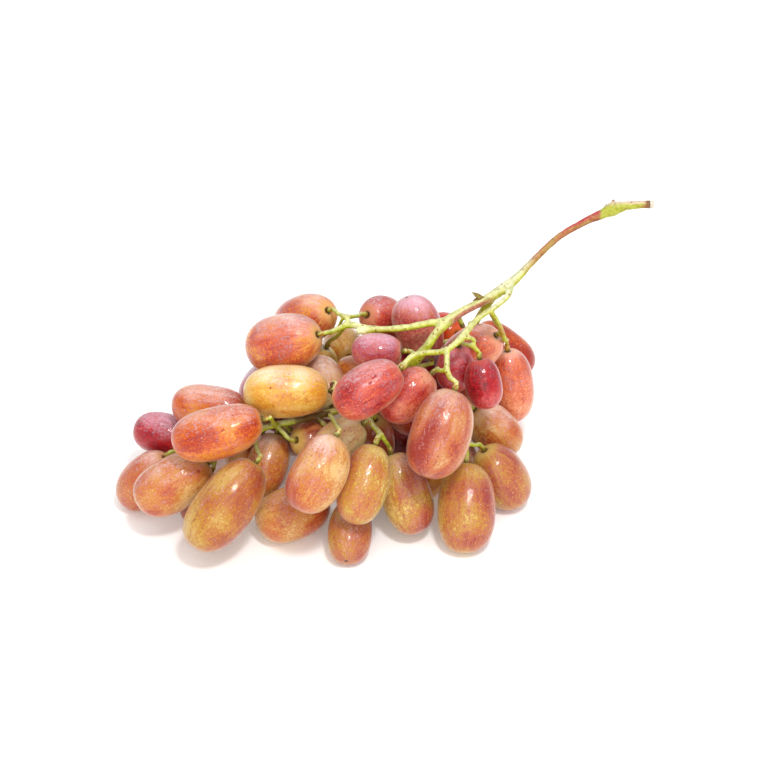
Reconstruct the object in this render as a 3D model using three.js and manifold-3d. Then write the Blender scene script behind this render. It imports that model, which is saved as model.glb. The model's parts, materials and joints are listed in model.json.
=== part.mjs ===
// A bunch of long pink table grapes, picked with its whole stalk and laid on a flat surface.
// One green stem (main stalk, side branches and berry stalks grown together) carries the berries.
// Millimetres, +Z up. The origin is under the middle of the bunch, on the surface it lies on.
import * as THREE from "three";
import { mergeVertices } from "three/addons/utils/BufferGeometryUtils.js";
import Module from "manifold-3d";

const wasm = await Module();
wasm.setup();

// The viewer: berries and stalks are listed as they are seen from here.
// across and up are millimetres from the middle of the view, and high is the height above the surface.
const EYE_ELEVATION_DEG = 35;
const EYE_DISTANCE = 600;
const EYE_TARGET_HEIGHT = 28;

// Berry form
const BERRY_SIDES = 12;
const BERRY_RINGS = 7;
const BERRY_BLUNTNESS = 2.35; // 2 is an ellipsoid, more is a barrel
const BERRY_FLARE = 0.04; // how much fatter the far half is than the half at the stalk
const BERRY_GAP = 0.3; // air kept between neighbours, and between a berry and its stalk
const REST_SINK = 0.35; // how deep a berry that rests on the surface is flattened

// Stalk form
const STALK_RADIUS = 0.64;
const STALK_SIDES = 5;
const BRANCH_SIDES = 6;
const CUSHION_RADIUS = 1.15; // the swollen disc where a stalk meets its berry
const CUSHION_LENGTH = 1.3; // shorter where the stalk itself is short
const MAIN_SIDES = 8;

// Berries that are seen. at is [across, up, high]; stem is [angle, lean] of the end at the stalk, in degrees:
// the angle turns anticlockwise from the right, and a lean above 0 points that end away from the viewer.
// Where stem is left out the berry points at the nearest branch. size is [length, thickness] as seen.
// branch and leaves tell where its stalk starts, and via where it passes.
const SEEN_BERRIES = [
  { at: [-67.6, -27.0, 8], stem: [48, -25], size: [20, 12.8], skin: "coral" },
  { at: [-63.1, -12.2, 18], stem: [-10, -15], size: [17, 11.7], skin: "wine" },
  { at: [-59.3, -25.6, 16], stem: [30, 0], size: [23, 15.2], skin: "peach" },
  { at: [-54.4, -33.9, 6], size: [16, 11], skin: "rose" },
  { at: [-49.7, -4.7, 25], stem: [-5, -20], size: [22, 13.4], skin: "coral" },
  { at: [-48.1, -12.8, 30], stem: [15, 0], size: [25.8, 15], skin: "coral",
    branch: "main", leaves: [-31.6, -9.6, 26.3] },
  { at: [-47.0, -30.7, 15.5], stem: [53, 5], size: [29, 16.6], skin: "amber",
    branch: "main", leaves: [-37.2, -11.5, 24], via: [[-38, -15.8, 22]] },
  { at: [-36.5, -3.8, 21], size: [17, 11.5], skin: "rose" },
  { at: [-31.9, -7, 13], size: [15, 11], skin: "wine" },
  { at: [-32.8, -20.3, 16.5], stem: [72, 10], size: [19, 12], skin: "peach",
    branch: "main", leaves: [-33, -10.2, 26] },
  { at: [-28.8, -0.7, 35], stem: [2, 0], size: [23.8, 14.7], skin: "amber" },
  { at: [-29.4, 13.1, 41.5], stem: [13, -28], size: [22.5, 16], skin: "coral",
    branch: "shoulder", leaves: [-16.4, 16.1, 47.5] },
  { at: [-23.3, 19.7, 41], stem: [18, -52], size: [22.3, 14], skin: "coral",
    branch: "shoulder_twig", leaves: [-12.2, 20.3, 50.6], via: [[-14.6, 20.8, 49.5]] },
  { at: [-27.8, -12.2, 16], size: [15, 11], skin: "rose" },
  { at: [-21.4, -13.6, 20], stem: [175, -45], size: [17, 12.4], skin: "amber",
    branch: "main", leaves: [-31.6, -9.6, 26.5], via: [[-29.5, -12, 26]] },
  { at: [-26.2, -34.4, 8.5], stem: [20, 15], size: [21.5, 15.5], skin: "amber" },
  { at: [-18.7, -22.3, 27], stem: [63, 10], size: [23, 15.7], skin: "peach",
    branch: "main", leaves: [-17.2, -6.4, 28], via: [[-15.8, -7.8, 31]] },
  { at: [-20.6, 5.3, 24], stem: [65, -25], size: [16, 11.5], skin: "amber",
    branch: "shoulder", leaves: [-12.3, 17.9, 49.3], via: [[-14.4, 14.6, 43]] },
  { at: [-17.2, 1.1, 29], size: [16, 11.5], skin: "peach" },
  { at: [-12.5, 11.9, 29], size: [16.5, 11.5], skin: "peach" },
  { at: [-10.6, 2.8, 25], size: [15, 11], skin: "peach" },
  { at: [-12.6, -13.5, 26], size: [16, 11.5], skin: "peach" },
  { at: [-6.7, -1.0, 43], stem: [33, 8], size: [21, 14.4], skin: "rose",
    branch: "front", leaves: [1.7, 5.6, 46.5] },
  { at: [-8.3, -26.1, 21], stem: [74, 12], size: [23, 13.4], skin: "amber",
    branch: "middle", leaves: [-2.5, -12.2, 30] },
  { at: [-12.1, -39.0, 7], stem: [85, 38], size: [20, 12.6], skin: "peach" },
  { at: [-2.8, -12.8, 18], size: [15, 11], skin: "rose" },
  { at: [-3.6, 10.8, 46], stem: [0, -5], size: [14.2, 10.7], skin: "wine",
    branch: "front", leaves: [7.2, 9.9, 48.5] },
  { at: [-2.2, 20, 38], stem: [172, -55], size: [15, 11.5], skin: "rose",
    branch: "shoulder_twig", leaves: [-12.2, 20.3, 50.6], via: [[-8.9, 20.2, 50]] },
  { at: [4.2, 7.8, 33], size: [15, 11], skin: "wine" },
  { at: [2.8, -6.1, 26], size: [18, 12.5], skin: "amber" },
  { at: [4.4, -1.4, 36], stem: [40, 0], size: [18, 13.4], skin: "rose",
    branch: "front_drop", leaves: [15.8, 5.6, 48.5], via: [[13.1, 4.9, 47.5]] },
  { at: [4.7, -28.7, 12], stem: [108, 0], size: [23.4, 14.6], skin: "amber",
    branch: "middle", leaves: [-2.5, -12.2, 30], via: [[-1.3, -14.4, 28]] },
  { at: [3.3, -15.6, 10], size: [15, 11], skin: "wine" },
  { at: [8.6, 17.0, 41.5], stem: [-68, 20], size: [18.5, 13.3], skin: "wine" },
  { at: [13.3, 5.0, 26], stem: [50, 55], size: [15, 11], skin: "wine", branch: "back", leaves: [22, 14, 33] },
  { at: [13.8, -12.1, 34], stem: [71, 5], size: [25.5, 17], skin: "coral",
    branch: "front_drop", leaves: [16.7, 3.3, 46.5] },
  { at: [15.3, 16.2, 28], size: [13, 10], skin: "coral" },
  { at: [18.3, 6.4, 39], stem: [83, -30], size: [14, 10.8], skin: "wine",
    branch: "front_twig", leaves: [22.9, 12.5, 50.8], via: [[20.6, 11.9, 49.6]] },
  { at: [20.1, -32.4, 10.5], stem: [88, 10], size: [25.3, 16], skin: "amber",
    branch: "low", leaves: [21.1, -14.7, 24.5] },
  { at: [20.0, -1.1, 19], size: [15, 11], skin: "peach" },
  { at: [21.4, -17.2, 13], size: [15, 11], skin: "rose" },
  { at: [21.7, 12.5, 37], stem: [33, -35], size: [20, 13.4], skin: "coral",
    branch: "front", leaves: [28.1, 21.9, 55.7], via: [[28.3, 19.4, 51.5]] },
  { at: [26.1, 1.9, 38], stem: [100, -12], size: [14.6, 10.2], skin: "wine",
    branch: "front_twig", leaves: [22.9, 12.5, 50.8], via: [[24.3, 10.6, 48]] },
  { at: [28.6, -11.4, 14.5], stem: [134, -25], size: [18.2, 13.3], skin: "amber" },
  { at: [30.9, -23.8, 10], stem: [124, -25], size: [20.3, 14.5], skin: "amber",
    branch: "low", leaves: [21.1, -14.7, 24.5], via: [[23.6, -15.8, 23]] },
  { at: [31.2, 10.7, 24], stem: [140, 0], size: [19.8, 13.2], skin: "coral" },
  { at: [33.3, 1.1, 22], stem: [97, -26], size: [22, 12.4], skin: "coral",
    branch: "right", leaves: [31.9, 13.9, 42] },
];

// Berries behind and below, by their place [right, away, high] from the middle of the view.
const HIDDEN_BERRIES = [
  { place: [-52, 8, 10], size: [23, 15], skin: "coral" },
  { place: [-31, 20, 8], size: [23, 15.5], skin: "peach" },
  { place: [-18, 25, 9], size: [24, 16.5], skin: "amber" },
  { place: [0, 28, 9], size: [24, 16], skin: "coral" },
  { place: [18, 27, 9], size: [23, 15.5], skin: "peach" },
  { place: [-28, 15, 25], size: [16, 12.5], skin: "rose" },
  { place: [5, 23, 21], size: [19, 13], skin: "coral" },
  { place: [-13, -8, 10], size: [21, 15], skin: "amber" },
  { place: [10, -13, 8], size: [19, 13.5], skin: "peach" },
  { place: [-33, -3, 8], size: [20, 14], skin: "peach" },
  { place: [-9, 12, 14], size: [20, 14], skin: "amber" },
  { place: [29, 18, 7], size: [17, 12], skin: "rose" },
];

// Branches as seen: [across, up, high, radius] from the thick end to the thin one.
const BRANCHES = {
  main: [
    [73.2, 51.6, 72, 1.15], [69.4, 51.5, 71.5, 1.1], [65.3, 51.1, 71, 1.25], [61.9, 50.3, 70, 2.1],
    [59.2, 49.0, 69, 1.4], [55.6, 47.5, 68, 1.15], [51.4, 45.3, 67, 1.1], [47.2, 42.8, 65.5, 1.1],
    [43.1, 39.2, 63.5, 1.1], [38.9, 35.0, 61, 1.15], [34.7, 30.6, 58.5, 1.4], [31.4, 28.1, 57.5, 1.6],
    [27.8, 25.8, 56.5, 1.4], [23.6, 23.6, 55.5, 1.2], [19.4, 21.4, 54, 1.25], [15.8, 18.9, 52.5, 1.65],
    [13.1, 16.1, 50.5, 1.25], [10.6, 12.5, 47.5, 1.2], [8.3, 9.7, 44, 1.5], [5.6, 6.7, 40, 1.4],
    [0.6, 2.8, 35, 1.25], [-6.9, -1.7, 31, 1.15], [-12.5, -4.7, 29, 1.05], [-17.2, -6.4, 28, 1],
    [-25, -8.3, 27.5, 0.9], [-30.6, -9.4, 26.5, 0.95], [-35, -10.6, 25.5, 0.85], [-41.7, -13.9, 20, 0.8],
    [-47.8, -16.7, 17, 0.75],
  ],
  shoulder: [
    [15.3, 18.9, 52.3, 1.3], [11.1, 18.6, 52, 1], [5.6, 17.5, 51, 0.95], [0, 16.9, 50.5, 0.95],
    [-5, 16.9, 50, 1], [-8.3, 17.6, 50, 0.95], [-11.9, 18.2, 49.5, 1.05], [-13.9, 17.2, 48.5, 0.8],
    [-16.4, 16.1, 47.5, 0.72],
  ],
  shoulder_twig: [[-11.9, 18.2, 49.5, 0.85], [-11.7, 19.6, 50.2, 0.75], [-12.2, 20.3, 50.6, 0.75]],
  front: [
    [33.3, 28.9, 58, 1.2], [32.8, 26.4, 57.2, 0.9], [31.4, 24.7, 56.5, 0.8], [28.3, 22.5, 56, 0.8],
    [25, 20.3, 55.5, 0.85], [22.2, 17.5, 55, 0.95], [20.3, 15, 54.3, 1.1], [18.1, 12.8, 53.5, 0.9],
    [15.8, 11.1, 52, 1], [13.9, 10.6, 51, 0.85], [9.7, 10.3, 49.5, 0.85], [6.4, 9.4, 48.5, 1.05],
    [4.2, 7.5, 47.5, 0.85], [1.7, 5.6, 46.5, 0.75],
  ],
  front_drop: [[15.8, 11.1, 52, 0.85], [15.8, 7.8, 50, 0.75], [15.8, 5.6, 48.5, 0.85], [16.7, 3.3, 46.5, 0.75]],
  front_twig: [[20.8, 14.6, 54, 0.8], [22.6, 14.4, 53, 0.65], [23.4, 13.6, 51.8, 0.65], [22.9, 12.5, 50.8, 0.7]],
  right: [[28.1, 21.9, 55.7, 0.75], [29.7, 19.4, 52, 0.65], [30.8, 17.2, 48, 0.65], [31.9, 13.9, 42, 0.7]],
  back: [[28.1, 25.3, 55.5, 1.3], [26, 22.3, 51, 1.1], [23.9, 18.9, 41, 0.95], [22, 14, 33, 0.8]],
  middle: [[0.6, 2.8, 35, 1.1], [-3.5, -4, 31.5, 0.9], [-5.6, -8.3, 31, 0.8], [-2.5, -12.2, 30, 0.8]],
  low: [[5.6, 6.7, 40, 1.1], [12, -4, 32, 0.9], [18, -11.5, 27, 0.8], [21.1, -14.7, 24.5, 0.75]],
};

const SKINS = {
  amber: { color: 0xd9a04e, roughness: 0.38 },
  peach: { color: 0xe0955a, roughness: 0.4 },
  coral: { color: 0xd96f4c, roughness: 0.4 },
  rose: { color: 0xc4505a, roughness: 0.42 },
  wine: { color: 0x8e2a3c, roughness: 0.42 },
};
const STEM_GREEN = { color: 0xb9c24e, roughness: 0.6 };

const RIGHT = new THREE.Vector3(1, 0, 0);
const elevation = THREE.MathUtils.degToRad(EYE_ELEVATION_DEG);
const UP = new THREE.Vector3(0, Math.sin(elevation), Math.cos(elevation));
const TOWARD = new THREE.Vector3(0, -Math.cos(elevation), Math.sin(elevation));
const TARGET = new THREE.Vector3(0, 0, EYE_TARGET_HEIGHT);
const EYE = TARGET.clone().addScaledVector(TOWARD, EYE_DISTANCE);

// The point at a height that is seen at a place in the view.
function seenPoint(across, up, high) {
  const inPicture = TARGET.clone().addScaledVector(RIGHT, across).addScaledVector(UP, up);
  const ray = inPicture.sub(EYE);
  return EYE.clone().addScaledVector(ray, (high - EYE.z) / ray.z);
}

// A unit vector seen at an angle in the view, leaning away from the viewer.
function seenDirection(angleDeg, leanDeg) {
  const angle = THREE.MathUtils.degToRad(angleDeg);
  const lean = THREE.MathUtils.degToRad(leanDeg);
  return new THREE.Vector3()
    .addScaledVector(RIGHT, Math.cos(lean) * Math.cos(angle))
    .addScaledVector(UP, Math.cos(lean) * Math.sin(angle))
    .addScaledVector(TOWARD, -Math.sin(lean));
}

// How much bigger a thing is than it looks at the middle of the view, by its distance from the eye.
function seenScale(point) {
  return EYE.clone().sub(point).dot(TOWARD) / EYE_DISTANCE;
}

// A branch as a smooth curve, with its radius along the way.
function makeBranch(rows) {
  const knots = rows.map(([across, up, high]) => seenPoint(across, up, high));
  const curve = new THREE.CatmullRomCurve3(knots);
  const thickness = rows.map((row, i) => row[3] * seenScale(knots[i]));
  const steps = (rows.length - 1) * 2;
  const points = [];
  const radii = [];
  for (let i = 0; i <= steps; i++) {
    const k = Math.min(Math.floor(i / 2), rows.length - 2);
    points.push(curve.getPoint(i / steps));
    radii.push(THREE.MathUtils.lerp(thickness[k], thickness[k + 1], i / 2 - k));
  }
  return { points, radii };
}

function nearestOnBranch(branch, point, fromShare = 0) {
  let best = { distance: Infinity };
  const closest = new THREE.Vector3();
  for (let i = Math.floor(fromShare * (branch.points.length - 1)); i < branch.points.length - 1; i++) {
    new THREE.Line3(branch.points[i], branch.points[i + 1]).closestPointToPoint(point, true, closest);
    const distance = closest.distanceTo(point);
    if (distance < best.distance) best = { distance, point: closest.clone(), radius: branch.radii[i] };
  }
  return best;
}

const branches = Object.fromEntries(Object.entries(BRANCHES).map(([name, rows]) => [name, makeBranch(rows)]));
const MAIN_HIDDEN_SHARE = 0.66; // past here the main stalk is inside the bunch

function nearestBranchPoint(point) {
  return Object.entries(branches)
    .map(([name, branch]) => nearestOnBranch(branch, point, name === "main" ? MAIN_HIDDEN_SHARE : 0.3))
    .sort((a, b) => a.distance - b.distance)[0];
}

// While the berries find room each one is a capsule: a centre, an axis towards its stalk, a reach and a radius.
function makeBerry(row) {
  const centre = row.at ? seenPoint(...row.at) : new THREE.Vector3(...row.place);
  const [length, thickness] = row.size.map((size) => (row.at ? size * seenScale(centre) : size));
  return {
    ...row,
    centre,
    home: centre.clone(),
    axis: row.stem ? seenDirection(...row.stem) : null,
    length,
    radius: thickness / 2,
    reach: (length - thickness) / 2,
    give: row.stem ? FIRM : 1,
  };
}

// A berry with no axis of its own points its stalk end at the nearest branch.
function aim(berry) {
  if (!berry.stem) berry.axis = nearestBranchPoint(berry.centre).point.sub(berry.centre).normalize();
}

const FIRM = 0.08; // how far a berry in full view gives way, against one that is half hidden
const berries = [...SEEN_BERRIES, ...HIDDEN_BERRIES].map(makeBerry);

// Closest points of two segments, each given by its middle, unit axis and half length.
function closestOnSegments(c1, a1, h1, c2, a2, h2) {
  const d = a1.dot(a2);
  const r = c1.clone().sub(c2);
  const b1 = -r.dot(a1);
  const b2 = r.dot(a2);
  const denominator = 1 - d * d;
  const limit = THREE.MathUtils.clamp;
  let s = denominator > 1e-6 ? limit((b1 + d * b2) / denominator, -h1, h1) : 0;
  let t = limit(d * s + b2, -h2, h2);
  s = limit(d * t + b1, -h1, h1);
  t = limit(d * s + b2, -h2, h2);
  return [c1.clone().addScaledVector(a1, s), c2.clone().addScaledVector(a2, t)];
}

// How far two capsules must part, as the vector that moves the second one.
function parting(c1, a1, h1, r1, c2, a2, h2, r2) {
  const [p, q] = closestOnSegments(c1, a1, h1, c2, a2, h2);
  const away = q.sub(p);
  const lack = r1 + r2 + BERRY_GAP - away.length();
  return lack > 0 ? away.setLength(lack) : null;
}

// The end of the stalk at a berry, with its cushion, as a short capsule that no other berry may enter.
const ROOT_REACH = 1.9;
const ROOT_RADIUS = 1.3;

function rootMiddle(berry) {
  return berry.centre.clone().addScaledVector(berry.axis, berry.length / 2 + BERRY_GAP + ROOT_REACH);
}

function partPair(a, b) {
  const move = parting(a.centre, a.axis, a.reach, a.radius, b.centre, b.axis, b.reach, b.radius);
  if (move) {
    const share = a.give / (a.give + b.give);
    a.centre.addScaledVector(move, -share);
    b.centre.addScaledVector(move, 1 - share);
  }
  for (const [one, other] of [[a, b], [b, a]]) {
    const middle = rootMiddle(one);
    const shift = parting(middle, one.axis, ROOT_REACH, ROOT_RADIUS, other.centre, other.axis, other.reach, other.radius);
    if (!shift) continue;
    const share = one.give / (one.give + other.give);
    one.centre.addScaledVector(shift, -share);
    other.centre.addScaledVector(shift, 1 - share);
  }
}

function clearBranches(berry) {
  for (const branch of Object.values(branches)) {
    for (let i = 0; i < branch.points.length - 1; i++) {
      const from = branch.points[i];
      const to = branch.points[i + 1];
      if (from.distanceTo(berry.centre) > berry.length / 2 + 8) continue;
      const middle = from.clone().add(to).multiplyScalar(0.5);
      const along = to.clone().sub(from);
      const half = along.length() / 2;
      const radius = Math.max(branch.radii[i], branch.radii[i + 1]);
      const move = parting(middle, along.normalize(), half, radius, berry.centre, berry.axis, berry.reach, berry.radius);
      if (move) berry.centre.add(move);
    }
  }
}

// How far a berry's surface reaches below its centre.
function restHeight(berry) {
  const power = BERRY_BLUNTNESS / (BERRY_BLUNTNESS - 1);
  const along = Math.abs(berry.axis.z) * (berry.length / 2);
  const around = Math.sqrt(1 - berry.axis.z ** 2) * berry.radius;
  return (along ** power + around ** power) ** (1 / power);
}

// The berries push each other apart and off the branches. Those in view are drawn back to where they are seen,
// firmly across the view and loosely along the line of sight, and the lowest come to rest on the surface.
const SETTLE_ROUNDS = 600;
const FREE_ROUNDS = 150; // the last rounds, with nothing drawn back
const AIM_EVERY = 20;
const HOLD = 0.2; // share of the way home that a berry goes in each round
const FIRM_PLAY = 4; // how far a berry in full view may be from home along the line of sight
const LOOSE_PLAY = 9;
const HIDDEN_HOLD = 0.06;
const FALL = 0.04; // millimetres that a hidden berry drops in each round
const REST_REACH = 1.6; // a berry as near to the surface as this comes down onto it

function goHome(berry) {
  const offset = berry.home.clone().sub(berry.centre);
  if (!berry.at) {
    berry.centre.addScaledVector(offset, HIDDEN_HOLD);
    berry.centre.z -= FALL;
    return;
  }
  const sight = berry.home.clone().sub(EYE).normalize();
  const depth = offset.dot(sight);
  const play = berry.stem ? FIRM_PLAY : LOOSE_PLAY;
  const beyond = depth - THREE.MathUtils.clamp(depth, -play, play);
  berry.centre.addScaledVector(offset.addScaledVector(sight, -depth), HOLD);
  berry.centre.addScaledVector(sight, beyond * HOLD);
}

function meetSurface(berry) {
  const clearance = berry.centre.z - restHeight(berry) + REST_SINK;
  if (clearance > REST_REACH) return;
  if (clearance < 0) berry.centre.z -= clearance;
  else berry.centre.z -= clearance * 0.3;
}

function settle() {
  for (let round = 0; round < SETTLE_ROUNDS; round++) {
    const held = round < SETTLE_ROUNDS - FREE_ROUNDS;
    if (round % AIM_EVERY === 0 && held) berries.forEach(aim);
    if (held) berries.forEach(goHome);
    for (let i = 0; i < berries.length; i++) {
      for (let j = i + 1; j < berries.length; j++) {
        if (berries[i].centre.distanceTo(berries[j].centre) < 34) partPair(berries[i], berries[j]);
      }
    }
    berries.forEach(clearBranches);
    berries.forEach(meetSurface);
  }
}

settle();

// A berry stalk runs from its branch to its berry in a curve that keeps clear of every berry.
const STALK_POINTS = 12;
const STALK_ROUNDS = 150;
const STALK_ROOM = 0.4;
const STALK_DETAIL = 0.22; // how far a left-out point may be from the stalk

function clearOfBerries(point, radius) {
  for (const other of berries) {
    const [p] = closestOnSegments(other.centre, other.axis, other.reach, point, RIGHT, 0);
    const away = point.clone().sub(p);
    const lack = other.radius + radius + STALK_ROOM - away.length();
    if (lack > 0) point.addScaledVector(away.normalize(), lack * 0.9);
  }
}

function stalkPath(berry, start, via) {
  const end = berry.centre.clone().addScaledVector(berry.axis, berry.length / 2 + BERRY_GAP);
  const cushion = Math.min(CUSHION_LENGTH, end.distanceTo(via[via.length - 1] ?? start) * 0.4);
  const lead = end.clone().addScaledVector(berry.axis, cushion * 1.4);
  const rough = new THREE.CatmullRomCurve3([start, ...via, lead]);
  const points = rough.getSpacedPoints(STALK_POINTS);
  const pull = via.length ? 0.12 : 0.35;
  for (let round = 0; round < STALK_ROUNDS; round++) {
    for (let i = 1; i < points.length - 1; i++) {
      points[i].lerp(points[i - 1].clone().add(points[i + 1]).multiplyScalar(0.5), pull);
    }
    for (let i = 1; i < points.length - 1; i++) clearOfBerries(points[i], STALK_RADIUS);
  }
  return { points, end, cushion };
}

// Points that lie near the line between their neighbours are left out.
function simplify(points) {
  if (points.length < 3) return points;
  const line = new THREE.Line3(points[0], points[points.length - 1]);
  const near = new THREE.Vector3();
  let worst = 0;
  let at = 0;
  for (let i = 1; i < points.length - 1; i++) {
    const distance = line.closestPointToPoint(points[i], true, near).distanceTo(points[i]);
    if (distance > worst) [worst, at] = [distance, i];
  }
  if (worst < STALK_DETAIL) return [points[0], points[points.length - 1]];
  return [...simplify(points.slice(0, at + 1)).slice(0, -1), ...simplify(points.slice(at))];
}

function makeStalk(berry) {
  const from = berry.leaves
    ? nearestOnBranch(branches[berry.branch], seenPoint(...berry.leaves)).point
    : nearestBranchPoint(rootMiddle(berry)).point;
  const via = (berry.via ?? []).map((row) => seenPoint(...row));
  const { points: path, end, cushion } = stalkPath(berry, from, via);
  const points = simplify(path);
  const radii = points.map((_, i) => (i === 0 ? STALK_RADIUS * 1.25 : STALK_RADIUS));
  const rim = end.clone().addScaledVector(berry.axis, cushion * 0.35);
  const neck = end.clone().addScaledVector(berry.axis, cushion);
  points.push(neck, rim, end);
  radii.push(STALK_RADIUS * 1.1, CUSHION_RADIUS, CUSHION_RADIUS * 0.8);
  return { points, radii };
}

// A closed round tube through points, with a radius at each.
function taperedTube(points, radii, sides) {
  const tangents = points.map((_, i) =>
    points[Math.min(i + 1, points.length - 1)].clone().sub(points[Math.max(i - 1, 0)]).normalize(),
  );
  const normal = new THREE.Vector3(0, 0, 1).cross(tangents[0]);
  if (normal.lengthSq() < 1e-4) normal.set(1, 0, 0).cross(tangents[0]);
  normal.normalize();
  const positions = [];
  points.forEach((point, i) => {
    normal.addScaledVector(tangents[i], -normal.dot(tangents[i])).normalize();
    const side = tangents[i].clone().cross(normal);
    for (let k = 0; k < sides; k++) {
      const turn = (k / sides) * Math.PI * 2;
      const spoke = normal.clone().multiplyScalar(Math.cos(turn)).addScaledVector(side, Math.sin(turn));
      positions.push(...point.clone().addScaledVector(spoke, radii[i]));
    }
  });
  const index = [];
  for (let i = 0; i < points.length - 1; i++) {
    for (let k = 0; k < sides; k++) {
      const next = (k + 1) % sides;
      const [a, b, c, d] = [i * sides + k, i * sides + next, (i + 1) * sides + k, (i + 1) * sides + next];
      index.push(a, b, d, a, d, c);
    }
  }
  const last = (points.length - 1) * sides;
  for (let k = 1; k < sides - 1; k++) index.push(0, k + 1, k, last, last + k, last + k + 1);
  const geometry = new THREE.BufferGeometry();
  geometry.setAttribute("position", new THREE.Float32BufferAttribute(positions, 3));
  geometry.setIndex(index);
  return geometry;
}

function solidOf(geometry) {
  const bare = new THREE.BufferGeometry().setAttribute("position", geometry.getAttribute("position"));
  bare.setIndex(geometry.index);
  const merged = mergeVertices(bare, 1e-4);
  const mesh = new wasm.Mesh({
    numProp: 3,
    vertProperties: new Float32Array(merged.attributes.position.array),
    triVerts: new Uint32Array(merged.index.array),
  });
  return new wasm.Manifold(mesh);
}

function geometryOf(solid) {
  const mesh = solid.getMesh();
  const geometry = new THREE.BufferGeometry();
  geometry.setAttribute("position", new THREE.Float32BufferAttribute(mesh.vertProperties, 3));
  geometry.setIndex(new THREE.BufferAttribute(mesh.triVerts, 1));
  geometry.computeVertexNormals();
  return geometry;
}

// A berry's own form, standing on +Y with the stalk end up.
function berryGeometry(length, radius) {
  const power = 2 / BERRY_BLUNTNESS;
  const profile = [];
  for (let i = 0; i <= BERRY_RINGS; i++) {
    const turn = Math.PI * (1 - i / BERRY_RINGS);
    const along = Math.sign(Math.cos(turn)) * Math.abs(Math.cos(turn)) ** power;
    const out = i % BERRY_RINGS === 0 ? 0 : Math.sin(turn) ** power;
    profile.push(new THREE.Vector2(radius * out * (1 - BERRY_FLARE * along), (length / 2) * along));
  }
  return new THREE.LatheGeometry(profile, BERRY_SIDES);
}

const FLOOR_SIZE = 400;
const floor = solidOf(new THREE.BoxGeometry(FLOOR_SIZE, FLOOR_SIZE, FLOOR_SIZE).translate(0, 0, -FLOOR_SIZE / 2));

function berrySolid(berry) {
  const turn = new THREE.Quaternion().setFromUnitVectors(new THREE.Vector3(0, 1, 0), berry.axis);
  const geometry = berryGeometry(berry.length, berry.radius).applyQuaternion(turn);
  geometry.translate(berry.centre.x, berry.centre.y, berry.centre.z);
  return solidOf(geometry).subtract(floor);
}

function stemSolid() {
  const tubes = Object.entries(branches).map(([name, branch]) =>
    taperedTube(branch.points, branch.radii, name === "main" ? MAIN_SIDES : BRANCH_SIDES),
  );
  for (const berry of berries) {
    const stalk = makeStalk(berry);
    tubes.push(taperedTube(stalk.points, stalk.radii, STALK_SIDES));
  }
  const whole = tubes.map(solidOf).reduce((sum, tube) => sum.add(tube));
  // The crossings may shed specks smaller than a grain, which are dropped.
  return whole.decompose().sort((a, b) => b.volume() - a.volume())[0];
}

const stem = stemSolid();
const berrySolids = berries.map(berrySolid);

// The bunch is moved so that the origin is under its middle.
const box = new THREE.Box3();
for (const solid of [stem, ...berrySolids]) {
  const { min, max } = solid.boundingBox();
  box.expandByPoint(new THREE.Vector3(...min)).expandByPoint(new THREE.Vector3(...max));
}
const middle = box.getCenter(new THREE.Vector3());

const bunch = new THREE.Group();
bunch.position.set(-middle.x, -middle.y, -box.min.z);

function addNode(name, solid, finish) {
  const mesh = new THREE.Mesh(geometryOf(solid), new THREE.MeshStandardMaterial({ ...finish, metalness: 0 }));
  mesh.name = name;
  bunch.add(mesh);
}

addNode("stem", stem, STEM_GREEN);
berrySolids.forEach((solid, i) => {
  addNode(`berry_${String(i + 1).padStart(2, "0")}`, solid, SKINS[berries[i].skin]);
});

export default bunch;
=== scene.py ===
# %% [markdown]
# # A bunch of long pink table grapes
# The real thing is a small bunch of oval table grapes, some amber and some wine red, that lies on its side
# with its green stalk still on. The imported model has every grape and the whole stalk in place, as coarse
# flat facets. So each place and size is kept, and a finer form with its skin, bloom and bark is made round
# each solid.

# %% Load the frame
import json
import math
from collections import Counter

import bpy
import numpy as np
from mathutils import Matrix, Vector, noise
from mathutils.bvhtree import BVHTree


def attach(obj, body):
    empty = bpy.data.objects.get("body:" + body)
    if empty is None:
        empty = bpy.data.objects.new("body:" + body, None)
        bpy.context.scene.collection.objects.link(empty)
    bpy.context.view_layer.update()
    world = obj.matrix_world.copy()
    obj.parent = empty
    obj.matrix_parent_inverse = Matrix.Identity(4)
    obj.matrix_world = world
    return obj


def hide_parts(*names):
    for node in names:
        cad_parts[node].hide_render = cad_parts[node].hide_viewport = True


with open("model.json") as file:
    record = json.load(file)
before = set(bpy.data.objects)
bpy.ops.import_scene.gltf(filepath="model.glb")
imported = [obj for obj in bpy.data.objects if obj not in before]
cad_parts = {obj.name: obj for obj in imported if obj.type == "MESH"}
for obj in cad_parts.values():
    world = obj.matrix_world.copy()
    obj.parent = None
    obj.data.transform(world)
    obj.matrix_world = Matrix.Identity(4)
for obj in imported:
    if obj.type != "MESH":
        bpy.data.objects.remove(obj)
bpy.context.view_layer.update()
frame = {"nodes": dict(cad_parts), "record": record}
MM = 0.001
print("solids in the frame:", len(frame["nodes"]))

# %% [markdown]
# ## The camera
# The photograph looks down on the bunch at about 35 degrees, from far enough for little perspective. The
# camera comes first, because small marks are placed by where the photograph shows them: a ray from the eye
# through a pixel meets the height, or the skin, that the mark is on.

# %% Place the camera
EYE_ELEVATION = math.radians(35)
EYE_DISTANCE = 600 * MM
PICTURE_WIDTH = 216.7 * MM  # how much the picture takes in at the target
SENSOR_MM = 36
PHOTO_PIXELS = 780
target = Vector((1.43, 3.53, 28)) * MM
towards_eye = Vector((0, -math.cos(EYE_ELEVATION), math.sin(EYE_ELEVATION)))
picture_up = Vector((0, math.sin(EYE_ELEVATION), math.cos(EYE_ELEVATION)))
eye = target + towards_eye * EYE_DISTANCE

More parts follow.
